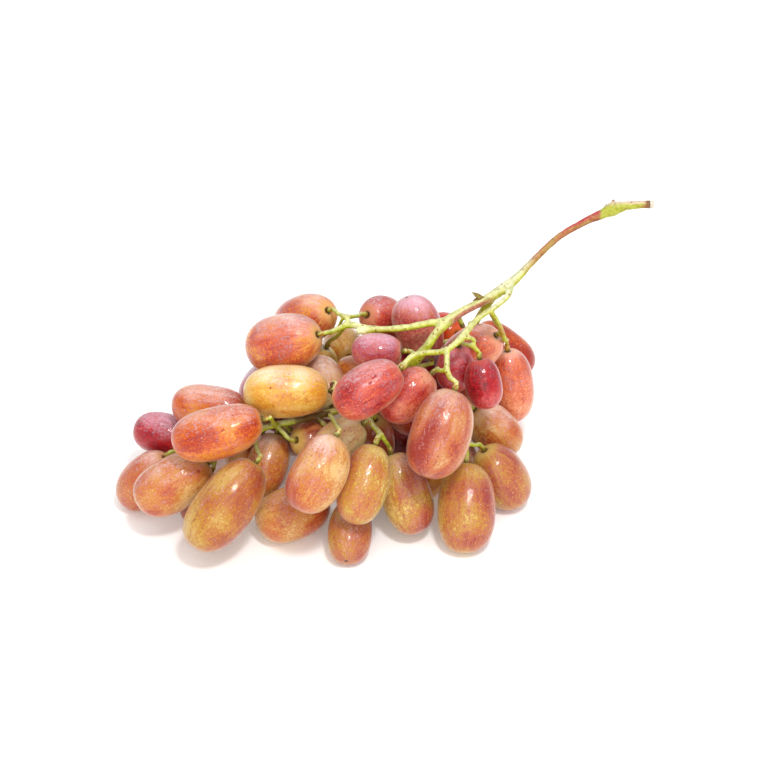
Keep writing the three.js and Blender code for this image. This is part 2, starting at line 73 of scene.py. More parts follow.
camera = bpy.data.objects.new("camera", bpy.data.cameras.new("camera"))
camera.location = eye
camera.rotation_mode = "QUATERNION"
camera.rotation_quaternion = (-towards_eye).to_track_quat("-Z", "Y")
camera.data.sensor_width = SENSOR_MM
camera.data.lens = SENSOR_MM * EYE_DISTANCE / PICTURE_WIDTH
camera.data.clip_start = 0.01
bpy.context.scene.collection.objects.link(camera)
bpy.context.scene.camera = camera
print("lens in mm:", round(camera.data.lens, 1))


# %% From a pixel to a place
def sight(across, down):
    """The direction from the eye through a pixel of the photograph."""
    step = PICTURE_WIDTH / PHOTO_PIXELS
    middle = PHOTO_PIXELS / 2
    point = target + Vector((1, 0, 0)) * (across - middle) * step + picture_up * (middle - down) * step
    return (point - eye).normalized()


def seen(across, down, height_mm):
    """The point at a height above the surface that is seen at a pixel."""
    ray = sight(across, down)
    return eye + ray * ((height_mm * MM - eye.z) / ray.z)


# %% [markdown]
# ## Nodes and colours
# Colours are written as the hex values a colour picker gives. The shader works in linear light, so one
# function turns them. One more adds a node with its settings, fixed values and links.

# %% Helpers for materials
def linear(hex_colour):
    """An sRGB hex colour as linear red, green, blue and alpha."""
    shares = [int(hex_colour[i : i + 2], 16) / 255 for i in (0, 2, 4)]
    return [s / 12.92 if s <= 0.04045 else ((s + 0.055) / 1.055) ** 2.4 for s in shares] + [1.0]


def add_node(tree, kind, values=None, links=None, **settings):
    """Adds a node. settings are its options, values its sockets' numbers, links the outputs that feed it."""
    node = tree.nodes.new("ShaderNode" + kind)
    for name, value in settings.items():
        setattr(node, name, value)
    for socket, value in (values or {}).items():
        node.inputs[socket].default_value = value
    for socket, source in (links or {}).items():
        tree.links.new(source, node.inputs[socket])
    return node


MIX_FACTOR, MIX_A, MIX_B, MIX_RESULT = 0, 6, 7, 2  # the sockets that a colour mix uses


def new_material(name):
    """A material and its empty node tree."""
    material = bpy.data.materials.new(name)
    material.use_nodes = True
    material.node_tree.nodes.clear()
    return material, material.node_tree


# %% [markdown]
# ## Measuring the grapes
# A grape's solid is a twelve-sided barrel. Its two poles are the points that lie furthest apart. The pole
# at the stalk has the ring of the stalk's cushion just outside it, which tells the two ends from each
# other.

# %% Find each grape's ends
def vectors_of(elements, name):
    """A mesh's places or normals, one row for each."""
    flat = np.empty(len(elements) * 3)
    elements.foreach_get(name, flat)
    return flat.reshape(-1, 3)


def points_of(obj):
    """The points of a solid, each once."""
    return np.unique(vectors_of(obj.data.vertices, "co").round(7), axis=0)


stalk_points = points_of(frame["nodes"]["stem"])
CUSHION_AWAY = 0.3 * MM
CUSHION_REACH = 1.3 * MM


def cushion_miss(end, outward):
    """How far the stalk's points near a pole are from being a ring centred just outside it."""
    centre = end + outward * CUSHION_AWAY
    ring = stalk_points[np.linalg.norm(stalk_points - centre, axis=1) < CUSHION_REACH]
    return np.linalg.norm(ring.mean(0) - centre) if len(ring) > 3 else np.inf


def measure_grape(node):
    """A grape's middle, the direction from it to the stalk, and its sizes in metres."""
    points = points_of(node)
    apart = np.linalg.norm(points[:, None] - points[None], axis=2)
    one, other = (points[i] for i in np.unravel_index(apart.argmax(), apart.shape))
    along = (one - other) / np.linalg.norm(one - other)
    if cushion_miss(one, along) > cushion_miss(other, -along):
        one, other, along = other, one, -along
    middle = (one + other) / 2
    out = (points - middle) - ((points - middle) @ along)[:, None] * along
    return {
        "middle": middle,
        "along": along,
        "length": float(apart.max()),
        "radius": float(np.linalg.norm(out, axis=1).max()),
        "miss": float(cushion_miss(one, along)),
    }


berries = {name: node for name, node in frame["nodes"].items() if name.startswith("berry")}
measured = {int(name[-2:]): measure_grape(node) for name, node in berries.items()}
lengths = [g["length"] / MM for g in measured.values()]
print("grapes:", len(measured), "from", round(min(lengths), 1), "to", round(max(lengths), 1), "mm long")
print("worst miss of a stalk end in mm:", round(max(g["miss"] for g in measured.values()) / MM, 2))

# %% [markdown]
# ## How ripe each grape is
# One bunch holds grapes from amber to wine. The light side blushes first, so each grape gets a skin, a
# share of blush and the side that the blush comes from. A turned-under grape stays paler than its neighbour
# in the sun. A table by grape number is the simplest way to follow the real bunch, one glance at the
# photograph per row.

# %% The ripeness table
# number: (skin, blush from 0 to 1, side with the most blush, bloom from 0 to 1)
RIPENESS = {
    1: ("russet", 0.42, "up", 0.6), 2: ("wine", 0.42, "up", 0.8), 3: ("peach", 0.40, "left", 0.5),
    4: ("smoky", 0.50, "up", 0.8), 5: ("coral", 0.50, "up", 0.6), 6: ("coral", 0.46, "up", 0.5),
    7: ("honey", 0.40, "right", 0.3), 8: ("smoky", 0.60, "up", 0.8), 9: ("wine", 0.70, "up", 0.2),
    10: ("peach", 0.30, "up", 0.6), 11: ("amber", 0.18, "right", 0.6), 12: ("blushed", 0.42, "up", 0.7),
    13: ("blushed", 0.35, "up", 0.6), 14: ("smoky", 0.50, "up", 0.7), 15: ("olive", 0.30, "up", 0.2),
    16: ("peach", 0.34, "right", 0.35), 17: ("peach", 0.40, "left", 0.6), 18: ("green", 0.20, "up", 0.1),
    19: ("pale", 0.45, "up", 0.6), 20: ("honey", 0.25, "stalk", 0.1), 21: ("amber", 0.50, "up", 0.1),
    22: ("pale", 0.00, "up", 0.4), 23: ("rose", 0.44, "up", 0.5), 24: ("green", 0.42, "left", 0.3),
    25: ("tawny", 0.50, "right", 0.5), 26: ("honey", 0.80, "up", 0.2), 27: ("mauve", 0.30, "up", 0.7),
    28: ("rose", 0.46, "up", 0.5), 29: ("wine", 0.70, "up", 0.2), 30: ("coral", 0.85, "right", 0.0),
    31: ("rose", 0.42, "left", 0.4), 32: ("tawny", 0.38, "right", 0.4), 33: ("wine", 0.90, "up", 0.1),
    34: ("mauve", 0.13, "up", 0.9), 35: ("wine", 0.80, "up", 0.1), 36: ("russet", 0.55, "left", 0.5),
    37: ("scarlet", 0.60, "up", 0.0), 38: ("wine", 0.34, "up", 0.95), 39: ("tawny", 0.50, "right", 0.2),
    40: ("russet", 0.70, "up", 0.3), 41: ("smoky", 0.50, "up", 0.6), 42: ("salmon", 0.40, "up", 0.5),
    43: ("wine", 0.31, "up", 0.3), 44: ("peach", 0.24, "right", 0.75), 45: ("tawny", 0.54, "right", 0.2),
    46: ("coral", 0.60, "up", 0.1), 47: ("salmon", 0.40, "up", 0.6), 49: ("mauve", 0.60, "up", 0.3),
    56: ("amber", 0.45, "up", 0.0),
}
HIDDEN_RIPENESS = (0.45, "up", 0.5)  # a grape that the photograph hides takes its skin from the record
slot_of_node = {part["node"]: part["material_slot"] for part in frame["record"]["subparts"]}
for number in measured:
    skin = slot_of_node[f"berry_{number:02d}"].removeprefix("skin_")
    RIPENESS.setdefault(number, (skin, *HIDDEN_RIPENESS))
print("grapes with each skin:", dict(Counter(row[0] for row in RIPENESS.values())))

# %% [markdown]
# ## The form of a grape
# A long table grape is a barrel with blunt ends, a little fatter away from the stalk. It isn't a perfect
# turned form: it grows a bit out of round, bends slightly, sinks in where the stalk enters and has a small
# point at the tip. A lathed profile gives the barrel, and slow waves round and along it take the turned
# look away.

# %% Turn the barrel
BLUNTNESS = 2.35  # 2 would be an ellipsoid
FLARE = 0.04  # how much fatter the tip half is
SIDES = 56
RINGS = 42
DIMPLE_DEPTH = 0.55 * MM
DIMPLE_WIDTH = 1.5 * MM
OUT_OF_ROUND = (0.018, 0.011)  # how far two waves and three waves round it stand out, in radii
SWAY, SWAY_TURN = 0.010, 4.2  # how far one more wave stands out, and how much it turns along the grape
BOW = 0.02  # how far the middle bends out, as a share of the length
UP = np.array([0.0, 0.0, 1.0])


def barrel(grape, dice):
    """Rows of points from the tip to the stalk end, and the same points in mm for the skin's pattern."""
    turn = np.pi * (1 - np.arange(RINGS + 1) / RINGS)
    power = 2 / BLUNTNESS
    share = np.sign(np.cos(turn)) * np.abs(np.cos(turn)) ** power
    out = grape["radius"] * np.abs(np.sin(turn)) ** power * (1 - FLARE * share)
    round_ = np.arange(SIDES) / SIDES * 2 * np.pi
    waves = dice.uniform(0, 2 * np.pi, 4)
    two, three = OUT_OF_ROUND
    uneven = 1 + two * np.cos(2 * round_ + waves[0]) + three * np.cos(3 * round_ + waves[1])
    uneven = uneven[None] + SWAY * np.cos(SWAY_TURN * share[:, None] + round_[None] + waves[2])
    radius = out[:, None] * uneven
    height = share[:, None] * grape["length"] / 2 + np.zeros_like(radius)
    dimple = DIMPLE_DEPTH * np.exp(-((radius / DIMPLE_WIDTH) ** 2)) * (share[:, None] > 0)
    bend = BOW * grape["length"] * (1 - share[:, None] ** 2)
    across = radius * np.cos(round_) + bend * math.cos(waves[3])
    deep = radius * np.sin(round_) + bend * math.sin(waves[3])
    unrolled = np.broadcast_arrays(grape["radius"] * np.cos(round_), grape["radius"] * np.sin(round_), height)
    return across, deep, height - dimple, np.stack(unrolled, axis=-1) / MM


# %% Place a barrel in the bunch
NEARLY_UPRIGHT = 0.2  # below this, upwards is too close to the axis to give a side


def side_vectors(along):
    """Two directions square to a grape's axis, the first as near to upwards as it can be."""
    first = UP - along * (UP @ along)
    if np.linalg.norm(first) < NEARLY_UPRIGHT:
        first = np.array([1.0, 0, 0]) - along * along[0]
    first /= np.linalg.norm(first)
    return first, np.cross(along, first)


def grape_mesh(number, grape):
    """The mesh of one grape, its points, and the same points in mm for the pattern of the skin."""
    dice = np.random.default_rng(number)
    across, deep, height, unrolled = barrel(grape, dice)
    first, second = side_vectors(grape["along"])
    points = grape["middle"] + across[..., None] * first + deep[..., None] * second
    points = points + height[..., None] * grape["along"]
    points[..., 2] = np.maximum(points[..., 2], 0)  # pressed flat where it rests
    tip, end = points[0, 0], points[-1, 0]
    rows = points[1:-1].reshape(-1, 3)
    vertices = np.vstack([rows, tip, end])
    faces = []
    for ring in range(RINGS - 2):
        for k in range(SIDES):
            a, b = ring * SIDES + k, ring * SIDES + (k + 1) % SIDES
            faces.append((a, b, b + SIDES, a + SIDES))
    last = (RINGS - 2) * SIDES
    for k in range(SIDES):
        after = (k + 1) % SIDES
        faces.append((len(rows), after, k))
        faces.append((len(rows) + 1, last + k, last + after))
    mesh = bpy.data.meshes.new(f"grape_{number:02d}")
    mesh.from_pydata(vertices.tolist(), [], faces)
    mesh.polygons.foreach_set("use_smooth", [True] * len(mesh.polygons))
    mesh.update()
    pattern = np.vstack([unrolled[1:-1].reshape(-1, 3), unrolled[0, 0], unrolled[-1, 0]])
    return mesh, vertices, pattern + dice.uniform(-90, 90, 3)


# %% [markdown]
# ## Where the blush and the bloom lie
# Blush is stronger on the sunny side and breaks up into clouds a few millimetres wide. Bloom is the pale
# wax dust, rubbed thin and lying in clouds; faces that point up get more of its pale colour as a painted
# sheen of the light from above. Both change slowly over a grape, so one number per mesh point holds them,
# and the shader adds everything finer.

# %% Blush and bloom per point
SIDE_DIRECTIONS = {"up": (0, -0.2, 1), "left": (-1, -0.3, 0.2), "right": (1, -0.3, 0.1)}
CLOUD_MM = 6.5  # how far apart the clouds of blush are
CLOUD_GAIN = 0.54  # and how strong they are
LEAN = 0.32  # how much more blush the sunny side has
STRIPES = {36: 0.24, 31: 0.12, 6: 0.1}  # the grapes with clear lengthwise stripes, and how strong these are
STRIPES_ROUND = 5
# the second number is painted sheen: more of the pale bloom colour on faces that point up, where light from
# above falls
BLOOM_ALL_OVER, PAINTED_TOP_SHEEN, BLOOM_CLOUDS = 0.2, 1.1, 0.4
BLOOM_CLOUD_MM = 4.5
BLOOM_RUBBED_OFF = 0.26


def clouds(points, period_mm, shift):
    """Smooth noise from about -1 to 1 at each point, with features about period_mm apart."""
    offset = Vector((shift * 17.3, shift * 5.1, shift * 9.7))
    return np.array([noise.noise(Vector(p) / (period_mm * MM) + offset) for p in points])


def ripen(number, grape, mesh, vertices, pattern):
    """Writes the fields that the skin reads onto a grape's points."""
    _, blush, side, bloom = RIPENESS[number]
    normals = vectors_of(mesh.vertex_normals, "vector")
    if side in SIDE_DIRECTIONS:
        direction = np.array(SIDE_DIRECTIONS[side])
        lean = normals @ (direction / np.linalg.norm(direction))
    else:
        to_end = (vertices - grape["middle"]) @ grape["along"] / (grape["length"] / 2)
        lean = to_end if side == "stalk" else -to_end
    patches = clouds(vertices, CLOUD_MM, number)
    first, second = side_vectors(grape["along"])
    offset = vertices - grape["middle"]
    round_ = np.arctan2(offset @ second, offset @ first)
    stripes = STRIPES.get(number, 0) * np.cos(STRIPES_ROUND * round_ + 2 * patches)
    # painted sheen: faces that point up get more of the pale bloom colour
    powder_and_top_sheen = BLOOM_ALL_OVER + PAINTED_TOP_SHEEN * normals[:, 2].clip(0) ** 3
    powder_and_top_sheen = powder_and_top_sheen + BLOOM_CLOUDS * clouds(vertices, BLOOM_CLOUD_MM, number + 60)
    end = grape["middle"] + grape["along"] * grape["length"] / 2
    tip = grape["middle"] - grape["along"] * grape["length"] / 2
    fields = {
        "blush": blush + LEAN * lean + CLOUD_GAIN * patches + stripes,
        "bloom": bloom * powder_and_top_sheen - BLOOM_RUBBED_OFF,
        "to_stalk": np.linalg.norm(vertices - end, axis=1) / MM,
        "to_tip": np.linalg.norm(vertices - tip, axis=1) / MM,
    }
    for name, values in fields.items():
        mesh.attributes.new(name, "FLOAT", "POINT").data.foreach_set("value", values.astype(np.float32))
    skin_at = mesh.attributes.new("skin_at", "FLOAT_VECTOR", "POINT")
    skin_at.data.foreach_set("vector", pattern.astype(np.float32).ravel())


# %% [markdown]
# ## Patterns and layers
# Most of the skin's colour is one colour laid over another where some number is high or low: blush in
# streaks, bloom in smears, a brown rim by the stalk. An image could hold all that, but it would be tied to
# one grape. Noise is worked out at every point instead, so two small functions are enough: one adds noises
# to a number, and one lays colours where a number says.

# %% Weigh patterns and lay colours
def weigh(tree, base, patterns, gains):
    """The base number plus each pattern's swing about its middle, times that pattern's gain."""
    for name, gain in gains.items():
        centred = add_node(tree, "Math", {1: 0.5}, {0: patterns[name]}, operation="SUBTRACT").outputs[0]
        base = add_node(tree, "Math", {1: gain}, {0: centred, 2: base}, operation="MULTIPLY_ADD").outputs[0]
    return base


def lay_over(tree, colour, layers):
    """Lays colours over each other. A layer is a number's socket, where it starts and where it is full, how
    strong it gets, whether it comes in softly or evenly, and its colour, as hex or as a socket."""
    for field, start, full, strength, shape, above in layers:
        values = {"From Min": start, "From Max": full, "To Max": strength}
        share = add_node(tree, "MapRange", values, {"Value": field}, interpolation_type=shape).outputs[0]
        mix = add_node(tree, "Mix", {}, {MIX_FACTOR: share}, data_type="RGBA")
        for socket, shade in ((MIX_A, colour), (MIX_B, above)):
            if isinstance(shade, str):
                mix.inputs[socket].default_value = linear(shade)
            else:
                tree.links.new(shade, mix.inputs[socket])
        colour = mix.outputs[MIX_RESULT]
    return colour


SOFTLY, EVENLY = "SMOOTHSTEP", "LINEAR"

# %% [markdown]
# ## Grape skin
# The skin is a thin waxed film over clear juicy flesh, so light goes in, spreads about a millimetre and
# comes out warmer: that is subsurface scattering. Plant wax has an index of refraction of about 1.44. The
# colour comes from three layers: the ground colour of the flesh, a blush in lengthwise streaks, and the
# pale bloom over both. The pale breathing pores are about 0.2 mm wide, drawn slightly larger so that they
# show, and slight dents break up the highlights.

# %% The patterns of the skin
EVERY_WAY = (1, 1, 1)
BROAD = (1, 1, 0.22)  # broad bands run along much of a grape
SHORT = (1, 1, 0.55)  # fine streaks are short
IN_PLACE = (0, 0, 0)
SKIN_PATTERNS = {
    # name: scale per mm, detail, roughness, distortion, squeeze along each axis, shift
    "bands": (0.42, 3, 0.6, 0.6, BROAD, IN_PLACE),
    "fine": (1.6, 4, 0.65, 0, SHORT, IN_PLACE),
    "mottle": (0.9, 6, 0.75, 0, EVERY_WAY, IN_PLACE),
    "grain": (1.7, 3, 0.7, 0, EVERY_WAY, IN_PLACE),
    "freckles": (1.25, 4, 0.75, 0, EVERY_WAY, (11, 47, 5)),
    "rubbed": (0.6, 2, 0.5, 0, BROAD, (31, 17, 53)),
    "dents": (0.8, 5, 0.65, 0, EVERY_WAY, IN_PLACE),
    "granules": (1.5, 0, 0.5, 0, EVERY_WAY, IN_PLACE),
}


def skin_patterns(tree):
    """A socket for each pattern and for each field on the grape's points."""
    at = add_node(tree, "Attribute", attribute_name="skin_at").outputs["Vector"]
    patterns = {"at": at}
    for name, (scale, detail, roughness, distortion, squeeze, shift) in SKIN_PATTERNS.items():
        values = {1: squeeze, 2: shift}
        place = add_node(tree, "VectorMath", values, {0: at}, operation="MULTIPLY_ADD").outputs[0]
        values = {"Scale": scale, "Detail": detail, "Roughness": roughness, "Distortion": distortion}
        patterns[name] = add_node(tree, "TexNoise", values, {"Vector": place}).outputs[0]
    for name in ("blush", "bloom", "to_stalk", "to_tip"):
        patterns[name] = add_node(tree, "Attribute", attribute_name=name).outputs["Fac"]
    return patterns


print("patterns of the skin:", ", ".join(SKIN_PATTERNS))

# %% [markdown]
# ## The colours of the skin
# How ripe a point is runs through a colour ramp from the light ground to the deep blush. The finer things
# lie over it in the order in which they lie on a real grape: freckles and pores in the skin, the bloom on
# it, and last the pale shoulder and the brown rim by the stalk and the dry speck at the tip.

# %% Colour the skin
BLUSH_GAINS = {"bands": 0.75, "fine": 0.9, "mottle": 1.3, "grain": 1.4}
BLOOM_GAINS = {"rubbed": 0.5, "mottle": 1.1, "fine": 1.0, "grain": 1.5}
RAMP_PLACES = (0.0, 0.28, 0.66, 1.0)  # of the light ground, the ground, the blush and the deep blush
PORE_SPACING_MM = 1.3
PORE_RADIUS_MM = 0.13
FULL_BLOOM = 1.25  # the bloom's number at which it hides the skin
STALK_RIM, TIP_SPECK = "5b3a1c", "4a2c18"


def skin_colour(tree, patterns, ground, light, blush, deep, bloom_colour):
    """The socket of the finished colour of a skin."""
    ramp = add_node(tree, "ValToRGB", {}, {"Fac": weigh(tree, patterns["blush"], patterns, BLUSH_GAINS)})
    while len(ramp.color_ramp.elements) < len(RAMP_PLACES):
        ramp.color_ramp.elements.new(0.5)
    for element, place, colour in zip(ramp.color_ramp.elements, RAMP_PLACES, (light, ground, blush, deep)):
        element.position, element.color = place, linear(colour)
    freckles = weigh(tree, patterns["freckles"], patterns, {"bands": 0.3})
    pores = add_node(tree, "TexVoronoi", {"Scale": 1 / PORE_SPACING_MM}, {"Vector": patterns["at"]})
    pore = PORE_RADIUS_MM / PORE_SPACING_MM
    # bloom dust, with the painted sheen on faces that point up
    dust_and_sheen = weigh(tree, patterns["bloom"], patterns, BLOOM_GAINS)
    to_stalk = weigh(tree, patterns["to_stalk"], patterns, {"mottle": 1.6})
    to_tip = weigh(tree, patterns["to_tip"], patterns, {"mottle": 0.5})
    layers = [
        (freckles, 0.54, 0.68, 0.75, SOFTLY, deep),
        (pores.outputs["Distance"], 1.6 * pore, 0.6 * pore, 0.28, SOFTLY, bloom_colour),
        (dust_and_sheen, 0, FULL_BLOOM, 1, EVENLY, bloom_colour),
        (to_stalk, 4.8, 1.0, 1, SOFTLY, light),
        (to_stalk, 1.35, 0.9, 1, SOFTLY, STALK_RIM),
        (to_tip, 0.6, 0.35, 1, SOFTLY, TIP_SPECK),
    ]
    return lay_over(tree, ramp.outputs["Color"], layers)


# %% [markdown]
# ## Gloss under wax
# The highlight of a real grape is small and bright in its middle, with a wide soft glow round it. That
# takes two gloss layers: a smooth clear coat for the wax, and under it a duller surface that is rougher
# where bloom lies. A little sheen gives the pale edge that the bloom shows when it is seen flat.

# %% The skin material
WAX_IOR = 1.44
SKIN_SCATTER = 0.22  # how much of the light goes through the skin
SCATTER_MM, SCATTER_SHARES = 1.8, (1.0, 0.42, 0.2)  # how far it goes, and the shares of red, green and blue
DENT_DEPTH, WAX_DEPTH = 0.14 * MM, 0.15 * MM


def grape_skin(name, *colours):
    """A waxed grape skin in five colours."""
    material, tree = new_material(name)
    patterns = skin_patterns(tree)
    colour = skin_colour(tree, patterns, *colours)
    dullness = weigh(tree, patterns["bloom"], patterns, {"mottle": 0.25})
    roughness = add_node(tree, "MapRange", {"To Min": 0.28, "To Max": 0.5}, {"Value": dullness}).outputs[0]
    bump = add_node(tree, "Bump", {"Strength": 0.4, "Distance": DENT_DEPTH}, {"Height": patterns["dents"]})
    wax_relief = weigh(tree, patterns["dents"], patterns, {"granules": 1.0})
    wax_bump = add_node(tree, "Bump", {"Strength": 0.4, "Distance": WAX_DEPTH}, {"Height": wax_relief})
    shader = add_node(
        tree,
        "BsdfPrincipled",
        {
            "IOR": WAX_IOR,
            "Specular IOR Level": 0.2,  # under the wax the flesh hardly reflects, as both bend light alike
            "Subsurface Weight": SKIN_SCATTER,
            "Subsurface Radius": SCATTER_SHARES,
            "Subsurface Scale": SCATTER_MM * MM,
            "Coat Weight": 0.6,
            "Coat Roughness": 0.04,
            "Coat IOR": WAX_IOR,
            "Sheen Weight": 0.14,
            "Sheen Roughness": 0.35,
        },
        {
            "Base Color": colour,
            "Roughness": roughness,
            "Normal": bump.outputs[0],
            "Coat Normal": wax_bump.outputs[0],
        },
    )
    add_node(tree, "OutputMaterial", {}, {"Surface": shader.outputs[0]})
    return material


# %% [markdown]
# ## Skins from amber to wine
# One shader with a slider for ripeness would do for a bunch of one colour. This bunch mixes green gold,
# coral, pink and wine, and each kind has its own ground and blush. So one function makes a material for
# each kind, from five colours of its own.

# %% One skin for each ripeness
SKINS = {
    # name: ground, light, blush, deep, bloom
    "amber": ("d89a30", "e0b85c", "cf802c", "b25a20", "fbf0dc"),
    "honey": ("b6842e", "c49e56", "b0642c", "96422c", "f6e2d0"),
    "peach": ("c6883e", "d6ac70", "bc5e30", "a03a26", "f8e6dc"),
    "coral": ("d57f28", "dd985a", "c45220", "9e2c18", "f6dcd4"),
    "salmon": ("e08c60", "e8a888", "d0603c", "a43c30", "fce0dc"),
    "russet": ("c07c44", "cc9c70", "b85a36", "963226", "f0d6d0"),
    "rose": ("cc6240", "d48a68", "b83830", "86161c", "f6d0d4"),
    "wine": ("b82c2e", "c45650", "a01822", "680a14", "e4b0c0"),
    "blushed": ("da8c38", "e2ac68", "c8563e", "9c3830", "f2d6cc"),
    "mauve": ("c05c4c", "cc8470", "ac3446", "741a2a", "e6bccc"),
    "scarlet": ("d8501c", "dc6428", "cc3418", "981810", "f0c0b0"),
    "tawny": ("b88836", "d0b064", "b4663e", "983e36", "f6e2d4"),
    "olive": ("be8a34", "d2b060", "b66a38", "943e30", "f0dcc0"),
    "green": ("bc9038", "d4c070", "bc7040", "9c4434", "f4e8c8"),
    "pale": ("d4ac6c", "e0cc90", "c88860", "a86048", "f8ece0"),
    "smoky": ("a87048", "c4a080", "984c38", "682820", "dccad0"),
}
skins = {}
for name, colours in SKINS.items():
    skins[name] = grape_skin(name + "_grape_skin", *colours)
print("skins:", sorted(skins))

# %% [markdown]
# ## Growing the grapes
# Each grape is its own piece, made round its own solid, and stands in for that solid. The frame's calls say
# which body it rides on and which solid it replaces.

# %% Grow the grapes
def add_object(name, data):
    """An object in the scene that shows a mesh or a lamp."""
    piece = bpy.data.objects.new(name, data)
    bpy.context.scene.collection.objects.link(piece)
    return piece


grapes = {}
for number, grape in sorted(measured.items()):
    mesh, vertices, pattern = grape_mesh(number, grape)
    ripen(number, grape, mesh, vertices, pattern)
    mesh.materials.append(skins[RIPENESS[number][0]])
    piece = add_object(f"grape_{number:02d}", mesh)
    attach(piece, "root")
    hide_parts(f"berry_{number:02d}")
    grapes[number] = piece
print("grapes made:", len(grapes), "with", sum(len(g.data.polygons) for g in grapes.values()), "faces")

# %% [markdown]
# ## Small scars
# Real skins carry a few healed scratches and dark specks. Each is a thin ragged patch laid on the skin
# where the photograph shows it. A patch of mesh is sharper than a painted dot, and it follows the skin seen
# from any side.

# %% Lay the scars on the skin
SCARS = [
    # grape, pixel across and down, length and width in mm, turn in the picture in degrees
    (6, 222.5, 430.5, 1.3, 0.5, 40), (11, 270.5, 388, 0.9, 0.6, 60), (11, 289.5, 374, 0.9, 0.35, 20),
    (12, 288, 339, 0.6, 0.5, 0), (12, 301, 359, 0.5, 0.4, 0), (23, 374, 377.5, 3.0, 0.9, 50),
    (23, 370, 383, 1.8, 1.0, 35), (23, 371, 399.5, 2.4, 0.6, 25), (23, 364.5, 403, 2.8, 0.8, 32),
    (20, 358.5, 340, 2.0, 0.8, 75), (31, 406.5, 376, 1.4, 0.9, 40),
    (3, 198.5, 471.5, 1.4, 0.7, 60), (7, 228.5, 468.5, 4.0, 0.4, 42), (7, 223.5, 476, 1.6, 0.3, 50),
    (36, 452, 446, 0.5, 0.5, 0), (47, 509, 372, 0.5, 0.5, 0),
]
SCAR_RISE = 0.04 * MM
SCAR_SINK = 1.6  # how far the rim goes down again, as a share of the rise, so that it ends inside the skin
SCAR_SPOKES = 14
SCAR_RINGS = (0.0, 0.6, 1.0)
SCAR_RAGGED = 0.4


def scar_points(grape_number, across, down, length, width, turn, dice):
    """Rings of points on a grape's skin round the point that is seen at a pixel."""
    skin = BVHTree.FromObject(grapes[grape_number], bpy.context.evaluated_depsgraph_get())
    centre, normal, _, _ = skin.ray_cast(eye, sight(across, down))
    if centre is None:
        return None
    flat_x = (Vector((1, 0, 0)) - normal * normal.x).normalized()
    flat_y = normal.cross(flat_x)
    angle = math.radians(turn)
    lengthwise = flat_x * math.cos(angle) + flat_y * math.sin(angle)
    crosswise = flat_y * math.cos(angle) - flat_x * math.sin(angle)
    rings = []
    for share in SCAR_RINGS:
        ring = []
        for k in range(SCAR_SPOKES):
            spoke = k / SCAR_SPOKES * 2 * math.pi
            ragged = share * (1 + dice.uniform(-SCAR_RAGGED, SCAR_RAGGED)) * MM
            offset = lengthwise * (length / 2 * math.cos(spoke)) + crosswise * (width / 2 * math.sin(spoke))
            place, out, _, _ = skin.find_nearest(centre + offset * ragged)
            ring.append(place + out * SCAR_RISE * (1 - SCAR_SINK * share**2))
        rings.append(ring)
    return rings


scar_dice = np.random.default_rng(5)
scar_vertices, scar_faces = [], []
for row in SCARS:
    rings = scar_points(*row, scar_dice)
    if rings is None:
        print("no skin is seen at", row)
        continue
    first = len(scar_vertices)
    scar_vertices += [tuple(p) for ring in rings for p in ring]
    for ring in range(len(SCAR_RINGS) - 1):
        for k in range(SCAR_SPOKES):
            a, b = first + ring * SCAR_SPOKES + k, first + ring * SCAR_SPOKES + (k + 1) % SCAR_SPOKES
            scar_faces.append((a, a + SCAR_SPOKES, b + SCAR_SPOKES, b))
print("scars laid:", len(scar_vertices) // (len(SCAR_RINGS) * SCAR_SPOKES))

# %% [markdown]
# ## Scar bark
# A healed scratch on a grape is cork: dull, dark red brown, with a dry broken surface. Cork and dead leaf
# are both dry tissue in two colours with a cracked relief, so one function makes either.

# %% The scar piece
def dry_tissue(name, under, over, grain_per_mm, detail, depth_mm, roughness):
    """A dull plant tissue, with patches of one colour over another and a cracked relief."""
    material, tree = new_material(name)
    at = add_node(tree, "TexCoord").outputs["Object"]
    noise_values = {"Scale": grain_per_mm / MM, "Detail": detail}
    grain = add_node(tree, "TexNoise", noise_values, {"Vector": at}).outputs[0]
    colour = lay_over(tree, under, [(grain, 0.4, 0.62, 1, SOFTLY, over)])
    bump = add_node(tree, "Bump", {"Strength": 0.6, "Distance": depth_mm * MM}, {"Height": grain}).outputs[0]
    links = {"Base Color": colour, "Normal": bump}
    shader = add_node(tree, "BsdfPrincipled", {"Roughness": roughness}, links)
    add_node(tree, "OutputMaterial", {}, {"Surface": shader.outputs[0]})
    return material


scar_mesh = bpy.data.meshes.new("skin_scars")
scar_mesh.from_pydata(scar_vertices, [], scar_faces)
scar_mesh.polygons.foreach_set("use_smooth", [True] * len(scar_mesh.polygons))
cork = dry_tissue("healed_cork", "b0241a", "741414", grain_per_mm=3, detail=3, depth_mm=0.05, roughness=0.6)
scar_mesh.materials.append(cork)
scars = add_object("skin_scars", scar_mesh)
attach(scars, "root")
print("faces in the scars:", len(scar_faces))

# %% [markdown]
# ## The stalk
# The real stalk is one grown thing: a main stalk, side branches and a short stalk to each grape, with no
# seams where they meet. The solid has the right paths with six and eight flat sides. Joining its tubes with
# a few extra stubs and remeshing the lot in small cells melts them together, much as growth does.

# %% Tubes for the small extras
def tube(points, radii, sides=10):
    """A closed tube through points, with a radius at each, as vertices and faces."""
    vertices, faces = [], []
    for i, point in enumerate(points):
        ahead = (points[min(i + 1, len(points) - 1)] - points[max(i - 1, 0)]).normalized()
        side = ahead.orthogonal().normalized()
        other = ahead.cross(side)
        for k in range(sides):
            turn = k / sides * 2 * math.pi
            vertices.append(point + (side * math.cos(turn) + other * math.sin(turn)) * radii[i])
    for i in range(len(points) - 1):
        for k in range(sides):
            a, b = i * sides + k, i * sides + (k + 1) % sides
            faces.append((a, b, b + sides, a + sides))
    faces.append(tuple(reversed(range(sides))))
    faces.append(tuple(range(len(vertices) - sides, len(vertices))))
    return vertices, faces


